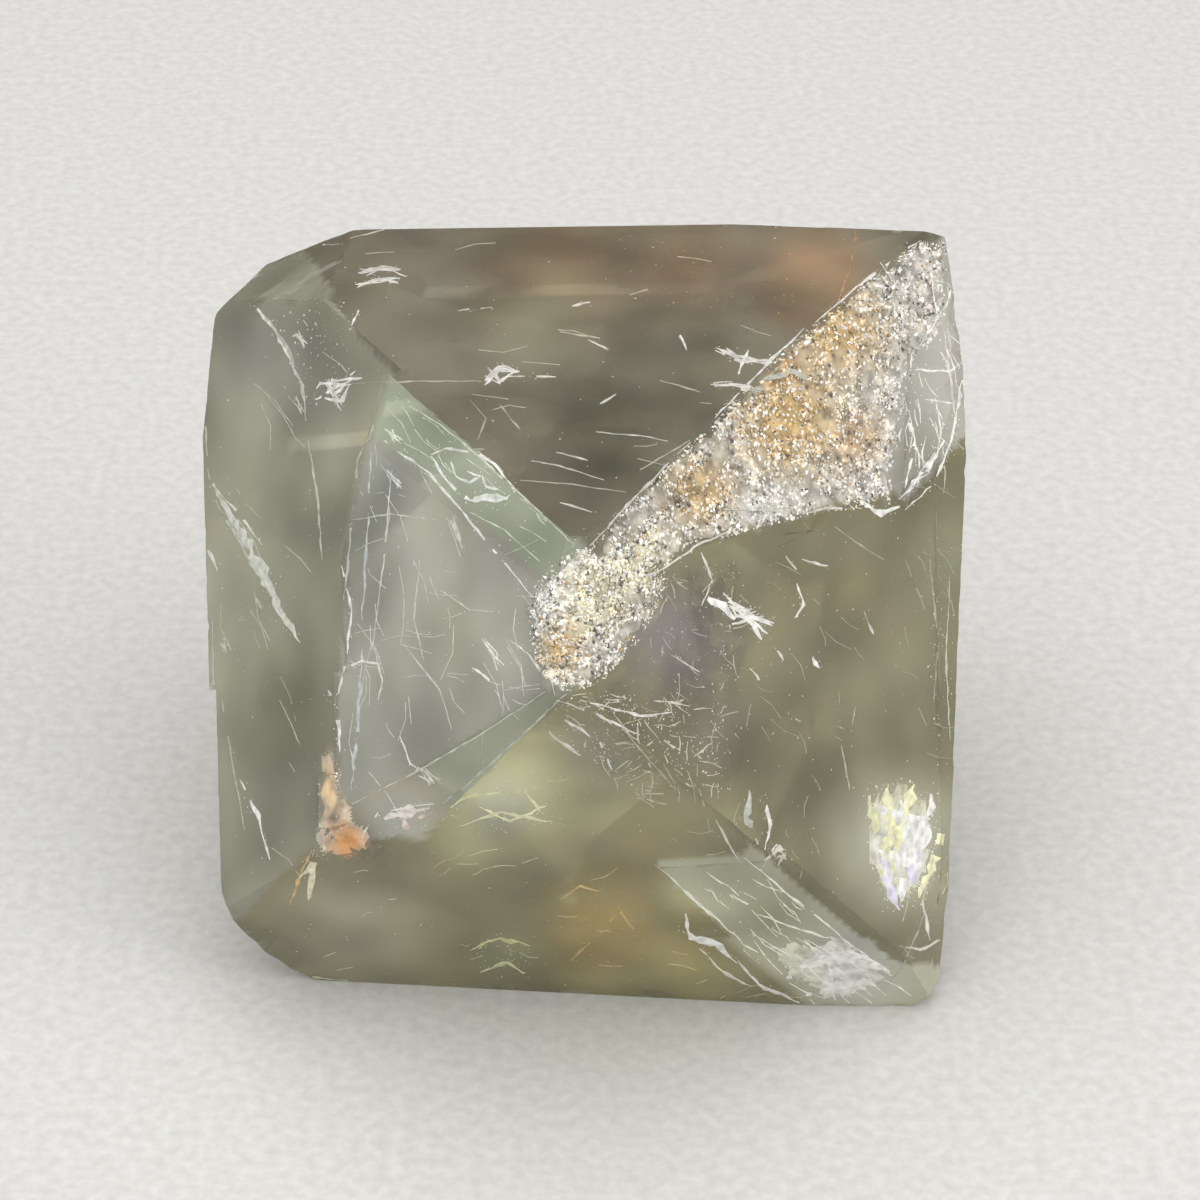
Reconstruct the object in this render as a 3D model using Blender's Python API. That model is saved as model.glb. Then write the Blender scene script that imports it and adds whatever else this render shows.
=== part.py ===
"""A fluorite octahedron, one cleaved crystal that rests on one of its eight triangular faces.

The crystal is worked out in its own axes, in millimetres from its centre: U to the right, V up the square that
its four side corners make, and W out of the square through the front point. At the end it is turned so that the
base face lies level, and moved so that the origin is on the surface under the middle of its box.
"""

import math

import bmesh
import bpy
from mathutils import Matrix, Vector, noise

MM = 0.001

# Driving sizes of the octahedron, in millimetres
HALF_WIDTH = 18.2
HALF_HEIGHT = 18.9
POINT_REACH = 24.0  # from the centre to the front point, and to the back one
POINT_RIDGE_TOP = 3.05  # the front point is a short ridge, from here down to the next value
POINT_RIDGE_BOTTOM = -2.9
BACK_RIDGE_TOP = 2.6
BACK_RIDGE_BOTTOM = -2.9
BASE_REACH = 15.3  # from the centre down to the base face
BASE_LEAN = math.radians(56.1)  # between the base face and the square's plane

# Depths of the ledges and of the rough band's relief, in millimetres
PLATE_RISE = 0.35  # how far the left plate stands out past the ridges, which its strips cut back
PLATE_STEP = 1.1
BAND_FLAKE_STEP = 0.45
THIN_LEDGE = 0.28
BAND_RELIEF = 0.3
BAND_GRAIN = 0.75  # length of the band's triangles
FRACTURE_RELIEF = 0.16
FRACTURE_GRAIN = 1.1
SHALLOWEST = 0.1  # share of the relief that even the highest point of a broken surface lies under the facet
ROOF_HEIGHT = 2.0  # of a cutter's block over the facet that it roughens
ON_PLANE = 5e-3

FAR = 60.0  # beyond the crystal in any direction
PARALLEL = 1e-6
INSIDE = 1e-4

UP = Vector((0, math.sin(BASE_LEAN), math.cos(BASE_LEAN)))


class Plane:
    """A flat face: its outward normal, and its distance from the centre."""

    def __init__(self, normal, reach):
        length = Vector(normal).length
        self.normal = Vector(normal) / length
        self.reach = reach / length

    @classmethod
    def through(cls, a, b, c):
        """The plane of three points, facing away from the centre."""
        a, b, c = Vector(a), Vector(b), Vector(c)
        normal = (b - a).cross(c - a).normalized()
        reach = normal.dot(a)
        return cls(normal, reach) if reach > 0 else cls(-normal, -reach)

    def point(self, u, v):
        """The point of this plane that lies over (u, v) in the square."""
        n = self.normal
        return Vector((u, v, (self.reach - n.x * u - n.y * v) / n.z))

    def raised(self, height):
        return Plane(self.normal, self.reach + height)

    def sunk(self, depth):
        return self.raised(-depth)

    def wall(self, start, end):
        """The plane that stands square on this one along a line. What lies behind it is on the left of
        someone who walks from start to end, seen from outside."""
        a, b = self.point(*start), self.point(*end)
        normal = (b - a).cross(self.normal).normalized()
        return Plane(normal, normal.dot(a))

    def flipped(self):
        return Plane(-self.normal, -self.reach)


def corners_of(planes):
    """Every corner of the convex solid that lies behind all the planes."""
    found = []
    for i, a in enumerate(planes):
        for j, b in enumerate(planes[:i]):
            for c in planes[:j]:
                rows = Matrix((a.normal, b.normal, c.normal))
                if abs(rows.determinant()) < PARALLEL:
                    continue
                point = rows.inverted() @ Vector((a.reach, b.reach, c.reach))
                if all(p.normal.dot(point) < p.reach + INSIDE for p in planes):
                    found.append(point)
    return found


def convex_solid(planes):
    """The convex solid behind the planes, as a bmesh whose faces are whole facets."""
    solid = bmesh.new()
    for corner in corners_of(planes):
        solid.verts.new(corner)
    bmesh.ops.remove_doubles(solid, verts=solid.verts, dist=10 * INSIDE)
    hull = bmesh.ops.convex_hull(solid, input=solid.verts)
    loose = [e for e in hull["geom_interior"] + hull["geom_unused"] if isinstance(e, bmesh.types.BMVert)]
    bmesh.ops.delete(solid, geom=loose, context="VERTS")
    bmesh.ops.dissolve_limit(solid, angle_limit=math.radians(0.2), verts=solid.verts, edges=solid.edges)
    bmesh.ops.recalc_face_normals(solid, faces=solid.faces)
    return solid


def far_walls():
    axes = (Vector((1, 0, 0)), Vector((0, 1, 0)), Vector((0, 0, 1)))
    return [Plane(sign * axis, FAR) for axis in axes for sign in (1, -1)]


def main_faces():
    """The eight faces of the octahedron, by name."""
    ridge_top = Vector((0.0, POINT_RIDGE_TOP, POINT_REACH))
    ridge_bottom = Vector((-0.4, POINT_RIDGE_BOTTOM, POINT_REACH))
    top = Plane(UP, UP.dot(ridge_top))
    base = Plane(-UP, BASE_REACH)
    bottom_left = base.point(-17.4, -17.2)
    bottom_right = base.point(17.8, 0.1 - HALF_HEIGHT)
    top_left = top.point(-18.4, 18.3)
    top_right = top.point(HALF_WIDTH, HALF_HEIGHT)
    back_top = Vector((0.0, BACK_RIDGE_TOP, -POINT_REACH))
    back_bottom = Vector((0.0, BACK_RIDGE_BOTTOM, -POINT_REACH))
    return {
        "top": top,
        "base": base,
        "front": Plane.through(ridge_bottom, bottom_left, bottom_right),
        "left": Plane.through(ridge_top, ridge_bottom, (-1.1 - HALF_WIDTH, 0, 0)).raised(PLATE_RISE),
        "right": Plane.through(ridge_bottom, bottom_right, (18.3, 2.8, 2.0)),
        "back": Plane.through(back_top, top_left, top_right),
        "back_left": Plane.through(back_top, (-18.4, 13.0, -1.2), (-17.4, -13.4, 2.3)),
        "back_right": Plane.through(back_top, back_bottom, (18.4, 0, 1.2)),
    }


def edge_facets(faces):
    """The narrow facets along the ridges: the rough band and the two strips that frame the left plate."""
    top, front, left, right = (faces[n] for n in ("top", "front", "left", "right"))
    return {
        "band": Plane.through(top.point(0.3, 3.4), top.point(17.3, 18.7), right.point(9.3, 4.9)),
        "upper_strip": Plane.through(top.point(-0.1, 3.1), top.point(-7.7, 10.0), left.point(-6.3, 5.2)),
        "lower_strip": Plane.through(front.point(-0.9, -3.6), front.point(-7.8, -9.5), left.point(-5.3, -5.4)),
        "blunt_point": Plane((-0.03, 0.0, 1.0), POINT_REACH - 0.6),
        "back_point": Plane((0.1, 0.15, -1.0), POINT_REACH - 1.1),
    }


def fractures(faces):
    """The facets that broken corners and worn edges have, each through three points."""
    top, right = faces["top"], faces["right"]
    return {
        "top_left_brow": Plane.through(top.point(-11.2, 18.0), top.point(-12.6, 13.3), (-17.0, 15.5, 0)),
        "top_left_middle": Plane((-0.69, 0.72, 0.1), 22.7),
        "top_left_lower": Plane((-0.95, 0.3, -0.06), 21.2),
        "bottom_left_outer": Plane((-0.93, -0.37, 0.1), 21.0),
        "bottom_left_inner": Plane((-0.42, -0.9, 0.12), 20.95),
        "bottom_right_corner": Plane.through(
            right.point(16.3, -13.2), right.point(14.5, -17.1), (17.5, -18.3, -1.0),
        ),
        "bottom_right_tip": Plane((0.72, -0.69, -0.25), 24.0),
        "right_edge": Plane((0.985, -0.03, -0.17), 17.2),
        "top_edge": Plane((0.05, 0.985, -0.17), 18.75),
        "back_left_edge": Plane((-0.9, 0.1, -0.45), 17.6),
        "back_base_edge": Plane((0.1, -0.62, -0.78), 19.6),
    }


def rough_depth(point, grain):
    """How deep the broken surface lies at a point, as a share of its relief: broad lumps with pits in them."""
    lumps = noise.noise(point / (3.2 * grain))
    pits = noise.noise(point / (1.1 * grain) + Vector((7.1, 3.3, 1.9)))
    return max(SHALLOWEST, 0.5 + 0.5 * lumps + 0.45 * pits)


def mesh_object(name, solid):
    mesh = bpy.data.meshes.new(name)
    solid.to_mesh(mesh)
    solid.free()
    obj = bpy.data.objects.new(name, mesh)
    bpy.context.scene.collection.objects.link(obj)
    return obj


def hidden(cutter):
    cutter.hide_render = True
    cutter.display_type = "WIRE"
    return cutter


def rough_cutter(name, plane, corners, grain, relief):
    """A block over the facet in a plane, whose underside is the broken surface that the facet gets."""
    along = plane.normal.orthogonal().normalized()
    across = plane.normal.cross(along)
    on_facet = [c for c in corners if abs(plane.normal.dot(c) - plane.reach) < ON_PLANE]
    start = [min(c.dot(axis) for c in on_facet) - grain for axis in (along, across)]
    end = [max(c.dot(axis) for c in on_facet) + grain for axis in (along, across)]
    counts = [math.ceil((e - s) / grain) for s, e in zip(start, end)]
    block = bmesh.new()
    rows = []
    for i in range(counts[0] + 1):
        rows.append([])
        for j in range(counts[1] + 1):
            flat = along * (start[0] + i * grain) + across * (start[1] + j * grain) + plane.normal * plane.reach
            shift = noise.noise_vector(flat / grain) * 0.35 * grain
            spot = flat + shift - plane.normal * shift.dot(plane.normal)
            rows[-1].append(block.verts.new(spot - plane.normal * relief * rough_depth(spot, grain)))
    for low, high in zip(rows, rows[1:]):
        for k in range(counts[1]):
            block.faces.new((low[k], low[k + 1], high[k + 1]))
            block.faces.new((low[k], high[k + 1], high[k]))
    roof = bmesh.ops.extrude_face_region(block, geom=list(block.faces))["geom"]
    for vert in [item for item in roof if isinstance(item, bmesh.types.BMVert)]:
        vert.co += plane.normal * (plane.reach + ROOF_HEIGHT - vert.co.dot(plane.normal))
    bmesh.ops.recalc_face_normals(block, faces=block.faces)
    return hidden(mesh_object(name, block))


def ledge_cutter(name, floor, walls):
    """A block that stands on the floor plane between the walls, and that takes off all the crystal it meets."""
    return hidden(mesh_object(name, convex_solid([floor.flipped(), *walls, *far_walls()])))


def left_plate_ledges(left):
    """The cuts that leave a raised plate on the left face. Its edge runs up the face in four straight
    stretches, and the last two cuts are the broken foot of the plate."""
    floor = left.sunk(PLATE_STEP)
    half_floor = left.sunk(0.5 * PLATE_STEP)
    return [
        ledge_cutter("ledge_top", floor, [
            left.wall((-11.0, 2.4), (-9.5, 9.2)),
            left.wall((-30, 2.4), (0, 2.4)),
        ]),
        ledge_cutter("ledge_upper", floor, [
            left.wall((-10.6, -2.4), (-11.0, 2.5)),
            left.wall((0, 2.5), (-30, 2.5)),
            left.wall((-30, -2.4), (0, -2.4)),
        ]),
        ledge_cutter("ledge_lower", floor, [
            left.wall((-11.1, -7.0), (-11.3, -2.3)),
            left.wall((0, -2.3), (-30, -2.3)),
            left.wall((-30, -7.0), (0, -7.0)),
        ]),
        ledge_cutter("ledge_foot", floor, [
            left.wall((-11.9, -11.5), (-12.0, -6.8)),
            left.wall((0, -6.9), (-30, -6.9)),
        ]),
        ledge_cutter("plate_foot", floor, [left.wall((-8.0, -9.9), (-13.0, -10.9))]),
        ledge_cutter("plate_toe", half_floor, [left.wall((-5.8, -7.8), (-9.9, -8.9))]),
    ]


def lower_right_chip(faces):
    """The long chip that flattens the outer half of the lower right ridge, with a step at its inner end."""
    front, right = faces["front"], faces["right"]
    floor = Plane.through(front.point(4.9, -13.1), front.point(11.0, -18.4), right.point(12.0, -13.1))
    return [ledge_cutter("lower_right_chip", floor, [floor.wall((7.2, -10.6), (3.3, -11.2))])]


def band_flake(faces):
    """The smooth flake at the outer end of the rough band."""
    top, right = faces["top"], faces["right"]
    hull = Plane.through(right.point(14.3, 5.0), right.point(18.0, 9.1), top.point(17.3, 18.6))
    return [ledge_cutter("band_flake", hull.sunk(BAND_FLAKE_STEP), [
        hull.wall((14.5, 4.0), (15.0, 12.0)).flipped(),
        right.wall((14.3, 5.0), (18.0, 9.1)),
    ])]


def thin_ledges(faces):
    """The shallow cleavage steps on the right face and on the faces behind."""
    right, back, back_left, back_right = (faces[n] for n in ("right", "back", "back_left", "back_right"))
    return [
        ledge_cutter("right_ledge", right.sunk(THIN_LEDGE), [right.wall((16.4, 5.5), (17.0, -16.0))]),
        ledge_cutter("back_ledge", back.sunk(3 * THIN_LEDGE), [back.wall((-20.0, 8.0), (20.0, 9.5))]),
        ledge_cutter("back_left_ledge", back_left.sunk(2 * THIN_LEDGE), [
            back_left.wall((-20.0, -3.0), (0.0, -6.5)),
        ]),
        ledge_cutter("back_right_ledge", back_right.sunk(2 * THIN_LEDGE), [
            back_right.wall((20.0, 9.0), (0.0, 6.0)),
        ]),
    ]


def cut_away(body, cutters):
    """Takes each cutter from the body, and leaves the result as the body's own mesh."""
    for cutter in cutters:
        cut = body.modifiers.new(cutter.name, "BOOLEAN")
        cut.operation = "DIFFERENCE"
        cut.solver = "EXACT"
        cut.object = cutter
    bpy.context.view_layer.update()
    shape = bpy.data.meshes.new_from_object(body.evaluated_get(bpy.context.evaluated_depsgraph_get()))
    body.modifiers.clear()
    body.data = shape
    for cutter in cutters:
        bpy.data.objects.remove(cutter)


def rest_on_base(body):
    """Turns the crystal's axes into the world's, with the base level, and sets the origin under its middle."""
    out = Vector((0, -math.cos(math.pi / 2 - BASE_LEAN), math.sin(math.pi / 2 - BASE_LEAN)))
    across = Vector((1, 0, 0))
    axes = Matrix((across, out.cross(across), out)).transposed()
    body.data.transform(axes.to_4x4() * MM)
    corners = [v.co for v in body.data.vertices]
    low = Vector(min(c[i] for c in corners) for i in range(3))
    high = Vector(max(c[i] for c in corners) for i in range(3))
    body.data.transform(Matrix.Translation(-Vector(((low.x + high.x) / 2, (low.y + high.y) / 2, low.z))))


def fluorite_material():
    material = bpy.data.materials.new("fluorite")
    material.use_nodes = True
    shader = material.node_tree.nodes["Principled BSDF"]
    shader.inputs["Base Color"].default_value = (0.52, 0.56, 0.42, 1)
    shader.inputs["Roughness"].default_value = 0.12
    shader.inputs["Metallic"].default_value = 0.0
    shader.inputs["IOR"].default_value = 1.434
    shader.inputs["Transmission Weight"].default_value = 0.85
    return material


def fluorite_octahedron():
    faces = main_faces()
    facets = edge_facets(faces)
    broken = fractures(faces)
    solid = convex_solid([*faces.values(), *facets.values(), *broken.values()])
    corners = [v.co.copy() for v in solid.verts]
    body = mesh_object("fluorite_octahedron", solid)
    cut_away(body, [
        *(rough_cutter(n, facets[n], corners, BAND_GRAIN, BAND_RELIEF) for n in ("band", "blunt_point")),
        *(rough_cutter(n, broken[n], corners, FRACTURE_GRAIN, FRACTURE_RELIEF) for n in broken),
        *left_plate_ledges(faces["left"]),
        *lower_right_chip(faces),
        *band_flake(faces),
        *thin_ledges(faces),
    ])
    rest_on_base(body)
    body.data.materials.clear()
    body.data.materials.append(fluorite_material())
    return body


for leftover in list(bpy.data.objects):
    bpy.data.objects.remove(leftover)
fluorite_octahedron()
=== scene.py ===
"""Looks of a pale green fluorite octahedron: its rust-stained rough band, crusted point, veils and cracks.

Places that the photograph shows are given in its pixels, and a ray from the camera finds the spot on the
crystal, or the spot behind the face once the ray has bent into it. Other sizes are in millimetres.
"""

import math
import random

import bmesh
import bpy
from mathutils import Matrix, Vector, noise
from mathutils.bvhtree import BVHTree


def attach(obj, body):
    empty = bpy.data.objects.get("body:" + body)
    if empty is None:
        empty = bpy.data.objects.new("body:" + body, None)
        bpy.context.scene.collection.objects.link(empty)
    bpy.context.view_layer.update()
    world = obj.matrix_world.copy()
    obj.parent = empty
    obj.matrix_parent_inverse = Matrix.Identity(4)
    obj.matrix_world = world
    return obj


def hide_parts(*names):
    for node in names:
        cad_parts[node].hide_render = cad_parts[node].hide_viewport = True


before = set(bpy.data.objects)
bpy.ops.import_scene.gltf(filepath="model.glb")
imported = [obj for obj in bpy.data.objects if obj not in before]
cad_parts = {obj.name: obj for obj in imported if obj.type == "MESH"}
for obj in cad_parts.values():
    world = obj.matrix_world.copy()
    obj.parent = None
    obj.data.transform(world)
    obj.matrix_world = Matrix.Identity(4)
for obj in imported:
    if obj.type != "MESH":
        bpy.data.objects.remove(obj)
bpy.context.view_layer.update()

MM = 0.001
NODE = "fluorite_octahedron"

# The crystal's axes in the frame, and where they cross
ELEVATION = math.radians(33.9)
ACROSS = Vector((1, 0, 0))
OUT = Vector((0, -math.cos(ELEVATION), math.sin(ELEVATION)))
UP = OUT.cross(ACROSS)
CENTRE = Vector((0.00011, 0.00051, 0.0153))

# The camera of the photograph
PHOTO_SIZE = 1200
MM_PER_PIXEL = 36.0 / 755  # at the crystal's centre
CAMERA_DISTANCE = 200.0
CENTRE_PIXEL = (584, 618)

FLUORITE_IOR = 1.434
CLEARNESS = 0.58  # share of the light that the clear faces let through
FROSTED_AND_GLINT_CLEARNESS = 0.3
ABSORPTION = 20.0  # per metre
ABSORPTION_COLOUR = (0.60, 0.60, 0.38, 1)


def camera_point():
    """Where the photograph's camera stood."""
    half = PHOTO_SIZE / 2
    right = (half - CENTRE_PIXEL[0]) * MM_PER_PIXEL
    rise = (CENTRE_PIXEL[1] - half) * MM_PER_PIXEL
    return CENTRE + (ACROSS * right + UP * rise + OUT * CAMERA_DISTANCE) * MM


def pixel_ray(x, y):
    """The direction from the camera through a pixel of the photograph."""
    half = PHOTO_SIZE / 2
    step = MM_PER_PIXEL / CAMERA_DISTANCE
    return (ACROSS * (x - half) * step - UP * (y - half) * step - OUT).normalized()


DEEPEST = 0.45  # share of the way through the crystal that a sheet behind a face may lie
INWARD_STEP = 0.01  # share of the way to the centre that a pixel beside the crystal moves at a time
JUST_INSIDE = 0.01  # how far behind a face the ray into the crystal starts
SIGHT_SLACK = 0.05  # how far in front of a point its ray may end, for the camera still to see it


class Surface:
    """The crystal's surface, asked for the points that pixels of the photograph show."""

    def __init__(self, tree):
        self.tree = tree
        self.eye = camera_point()

    def at(self, x, y):
        """(point, normal) that a pixel shows, or None beside the crystal."""
        spot, normal, _, _ = self.tree.ray_cast(self.eye, pixel_ray(x, y))
        return (spot, normal) if spot else None

    def within(self, x, y, depth):
        """The point at a depth, in millimetres, behind the face, along the ray as it bends into the crystal.

        A pixel beside the crystal is first moved on to it, and a thin place gives a point less deep.
        """
        while not self.at(x, y):
            x += INWARD_STEP * (CENTRE_PIXEL[0] - x)
            y += INWARD_STEP * (CENTRE_PIXEL[1] - y)
        spot, normal = self.at(x, y)
        ray = pixel_ray(x, y)
        cosine = -ray.dot(normal)
        ratio = 1 / FLUORITE_IOR
        turned = math.sqrt(1 - ratio * ratio * (1 - cosine * cosine))
        bent = ratio * ray + (ratio * cosine - turned) * normal
        bent.normalize()
        _, _, _, thickness = self.tree.ray_cast(spot + bent * JUST_INSIDE * MM, bent)
        return spot + bent * min(depth * MM, DEEPEST * (thickness or 0.0))

    def pixel_of(self, point):
        """The pixel that shows a point, or that would if nothing hid it."""
        toward = point - self.eye
        scale = CAMERA_DISTANCE / MM_PER_PIXEL / -toward.dot(OUT)
        return PHOTO_SIZE / 2 + toward.dot(ACROSS) * scale, PHOTO_SIZE / 2 - toward.dot(UP) * scale

    def sees(self, point):
        """Whether the camera sees a point of the surface."""
        toward = point - self.eye
        _, _, _, distance = self.tree.ray_cast(self.eye, toward.normalized())
        return distance is not None and distance > toward.length - SIGHT_SLACK * MM


# Colours, as linear red, green and blue

OCHRE = (0.66, 0.42, 0.17)
GOLD = (0.69, 0.48, 0.19)
RUST = (0.48, 0.17, 0.04)
CREAM = (0.86, 0.81, 0.58)
PALE = (0.68, 0.65, 0.59)
WHITE = (0.92, 0.92, 0.89)
MILK = (0.55, 0.57, 0.50)
# the dark of the crust's pits: painted shade
PIT_SHADE = (0.16, 0.14, 0.14)
LILAC = (0.80, 0.77, 0.90)
LEMON = (0.90, 0.89, 0.58)
SKY = (0.56, 0.61, 0.64)

# Outlines in the photograph, as polygons of pixels. FOOT is the stained corner at the lower left, GLINT the
# bright patch at the lower right, a painted reflection, and PURPLE and WISPS lie beside and under the point.

BAND = [(588, 548), (640, 495), (720, 415), (800, 335), (860, 285), (915, 243), (948, 240), (945, 330),
        (915, 360), (900, 420), (890, 505), (830, 512), (760, 528), (700, 545), (655, 575), (615, 580)]
POINT = [(528, 600), (545, 568), (583, 548), (640, 552), (672, 580), (640, 640), (600, 685), (565, 692),
         (538, 672), (530, 640)]
FOOT = [(318, 752), (336, 748), (344, 790), (360, 826), (384, 846), (366, 858), (330, 862), (312, 858),
        (318, 800)]
CHIP_END = [(765, 940), (850, 928), (905, 985), (820, 1010), (785, 985)]
GLINT = [(866, 790), (905, 778), (936, 795), (940, 860), (915, 910), (884, 906), (860, 850)]
TOP = [(350, 225), (945, 225), (880, 272), (578, 545), (392, 378), (335, 300)]
LEFT = [(196, 330), (318, 290), (392, 372), (362, 438), (340, 545), (334, 640), (328, 760), (314, 812),
        (230, 930), (212, 900), (206, 600)]
PLATE = [(372, 430), (450, 495), (552, 585), (545, 692), (350, 805), (346, 700), (348, 540)]
UPPER_STRIP = [(392, 376), (578, 545), (555, 585), (372, 432)]
LOWER_STRIP = [(545, 690), (570, 692), (420, 842), (345, 815)]
FRONT = [(570, 692), (640, 750), (740, 855), (655, 862), (810, 1010), (700, 1002), (420, 985), (260, 975),
         (225, 930), (320, 860), (400, 845)]
RIGHT = [(600, 580), (655, 575), (760, 530), (900, 505), (968, 430), (968, 700), (960, 870), (900, 950),
         (775, 850), (600, 700)]
CHIP = [(655, 862), (745, 858), (905, 985), (820, 1010), (725, 935)]
SHARD = [(905, 505), (900, 420), (915, 360), (945, 330), (948, 240), (970, 260), (970, 430), (940, 470)]
PURPLE = [(630, 570), (740, 560), (745, 640), (735, 770), (640, 765), (600, 700), (640, 640)]
WISPS = [(550, 700), (600, 690), (690, 700), (720, 790), (640, 800), (570, 740)]


def edge_distance(x, y, polygon):
    """How far inside a polygon a pixel lies, below 0 outside it."""
    nearest = 1e9
    inside = False
    for (ax, ay), (bx, by) in zip(polygon, polygon[1:] + polygon[:1]):
        if (ay > y) != (by > y) and x < ax + (y - ay) * (bx - ax) / (by - ay):
            inside = not inside
        length = (bx - ax) ** 2 + (by - ay) ** 2
        along = max(0.0, min(1.0, ((x - ax) * (bx - ax) + (y - ay) * (by - ay)) / length))
        nearest = min(nearest, math.hypot(x - ax - along * (bx - ax), y - ay - along * (by - ay)))
    return nearest if inside else -nearest


def soft_step(value, width):
    """A share that rises from 0 at no value to 1 at the width, level at both ends."""
    share = max(0.0, min(1.0, value / width))
    return share * share * (3 - 2 * share)


def random_inside(polygon, chance):
    """A random pixel inside a polygon."""
    xs = [p[0] for p in polygon]
    ys = [p[1] for p in polygon]
    while True:
        x, y = chance.uniform(min(xs), max(xs)), chance.uniform(min(ys), max(ys))
        if edge_distance(x, y, polygon) > 0:
            return x, y


def spotted(x, y, base, stains_and_light):
    """The colour at a pixel: a base, with round soft spots (x, y, radius, colour, strength) over it: spots
    of stain, and in the faces' tones and the veils also painted shade and painted highlights.
    """
    colour = Vector(base)
    for sx, sy, radius, tone, strength in stains_and_light:
        share = strength * soft_step(radius - math.hypot(x - sx, y - sy), radius)
        colour = colour.lerp(Vector(tone), share)
    return colour


# Small helpers for materials and pieces

PAINT = ("Red", "Green", "Blue")
MIX_BASE, MIX_SHADE, MIX_RESULT = 6, 7, 2  # sockets of a mix node that are for colours


def new_material(name):
    """(material, node tree, place on the piece in its own coordinates)."""
    material = bpy.data.materials.new(name)
    material.use_nodes = True
    tree = material.node_tree
    tree.nodes.clear()
    return material, tree, tree.nodes.new("ShaderNodeTexCoord").outputs["Object"]


def node(tree, kind, **values):
    """A shader node, with sockets and settings given by name."""
    made = tree.nodes.new(kind)
    for key, value in values.items():
        if key in made.inputs:
            made.inputs[key].default_value = value
        else:
            setattr(made, key, value)
    return made


def noise_node(tree, place, scale, detail=2.0, distortion=0.0):
    made = node(tree, "ShaderNodeTexNoise", Scale=scale, Detail=detail, Distortion=distortion)
    tree.links.new(place, made.inputs["Vector"])
    return made.outputs["Fac"]


def ramp(tree, value, stops):
    """A colour or a grey level for each value, through (position, colour) stops."""
    made = tree.nodes.new("ShaderNodeValToRGB")
    made.color_ramp.elements[0].position = stops[0][0]
    made.color_ramp.elements[-1].position = stops[-1][0]
    for position, _ in stops[1:-1]:
        made.color_ramp.elements.new(position)
    for element, (_, colour) in zip(made.color_ramp.elements, stops):
        element.color = (*colour, 1) if isinstance(colour, tuple) else (colour, colour, colour, 1)
    tree.links.new(value, made.inputs["Fac"])
    return made.outputs["Color"]


def turned(tree, place, angles):
    made = tree.nodes.new("ShaderNodeMapping")
    made.inputs["Rotation"].default_value = angles
    tree.links.new(place, made.inputs["Vector"])
    return made.outputs["Vector"]


def attribute(tree, name):
    made = tree.nodes.new("ShaderNodeAttribute")
    made.attribute_name = name
    return made.outputs["Fac"]


def painted(tree, shade):
    """The colour that paint gave the piece, times a shade."""
    joined = tree.nodes.new("ShaderNodeCombineColor")
    for name in PAINT:
        tree.links.new(attribute(tree, name.lower()), joined.inputs[name])
    colour = node(tree, "ShaderNodeMix", data_type="RGBA", blend_type="MULTIPLY")
    colour.inputs["Factor"].default_value = 1.0
    tree.links.new(joined.outputs["Color"], colour.inputs[MIX_BASE])
    tree.links.new(shade, colour.inputs[MIX_SHADE])
    return colour.outputs[MIX_RESULT]


def paint(mesh, colours):
    """Gives each vertex a colour, as three plain numbers."""
    for index, name in enumerate(PAINT):
        layer = mesh.attributes.new(name.lower(), "FLOAT", "POINT")
        layer.data.foreach_set("value", [colour[index] for colour in colours])


def finish_material(tree, shader, volume=None):
    output = tree.nodes.new("ShaderNodeOutputMaterial")
    tree.links.new(shader.outputs["BSDF"], output.inputs["Surface"])
    if volume:
        tree.links.new(volume.outputs["Volume"], output.inputs["Volume"])


def face_out(mesh):
    """Turns every face of a closed mesh outwards."""
    fix = bmesh.new()
    fix.from_mesh(mesh)
    bmesh.ops.recalc_face_normals(fix, faces=fix.faces)
    fix.to_mesh(mesh)
    fix.free()


def mesh_piece(name, verts, faces, colours, material):
    """A painted piece that rides with the crystal."""
    mesh = bpy.data.meshes.new(name)
    mesh.from_pydata([v - CENTRE for v in verts], [], faces)
    mesh.materials.append(material)
    paint(mesh, colours)
    piece = bpy.data.objects.new(name, mesh)
    piece.location = CENTRE
    bpy.context.scene.collection.objects.link(piece)
    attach(piece, "root")
    return piece


# The crystal

CRYSTAL_EDGE = 0.6  # longest triangle side of the crystal's surface
MOST_TRIANGLES = 90000
SPLIT_ROUNDS = 7
CRUST_RELIEF = 0.14  # how deep the band and the point are pitted
PIT_SIZE = 0.45
PIT_BIAS = 0.6
NICK_DEPTH = 0.10  # how far the sharp ridges are worn in
NICK_SIZE = 0.9
NICK_BIAS = 0.15
LEAST_DEPTH = 0.004  # keeps the copy inside the solid
NICK_SLOPE = 0.88  # two faces that meet at a smaller cosine than this share a sharp ridge
FROST_AND_GLINT_FROM = 0.5  # share of frosting and of painted highlight that gives a triangle the material for both
OUTLINE_RAGGED = 9  # pixels that the edges of the outlines of pitting, frosting and painted highlight wander by
OUTLINE_WAVE = 14  # pixels
OVERLAP = 2.0  # pixels: deeper inside two outlines than this, the one listed first counts

BODY_GAIN = 0.93  # brings the tones below to the photograph's brightness
BRIGHTEST = 0.93
FAR_TONE = (0.72, 0.75, 0.58)
FAR_GREY = (0.44, 0.42, 0.34)
FAR_OCHRE = (0.52, 0.38, 0.18)
FAR_GREY_SIZE = 7  # clouds on the sides that the photograph doesn't show
FAR_OCHRE_SIZE = 5
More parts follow.
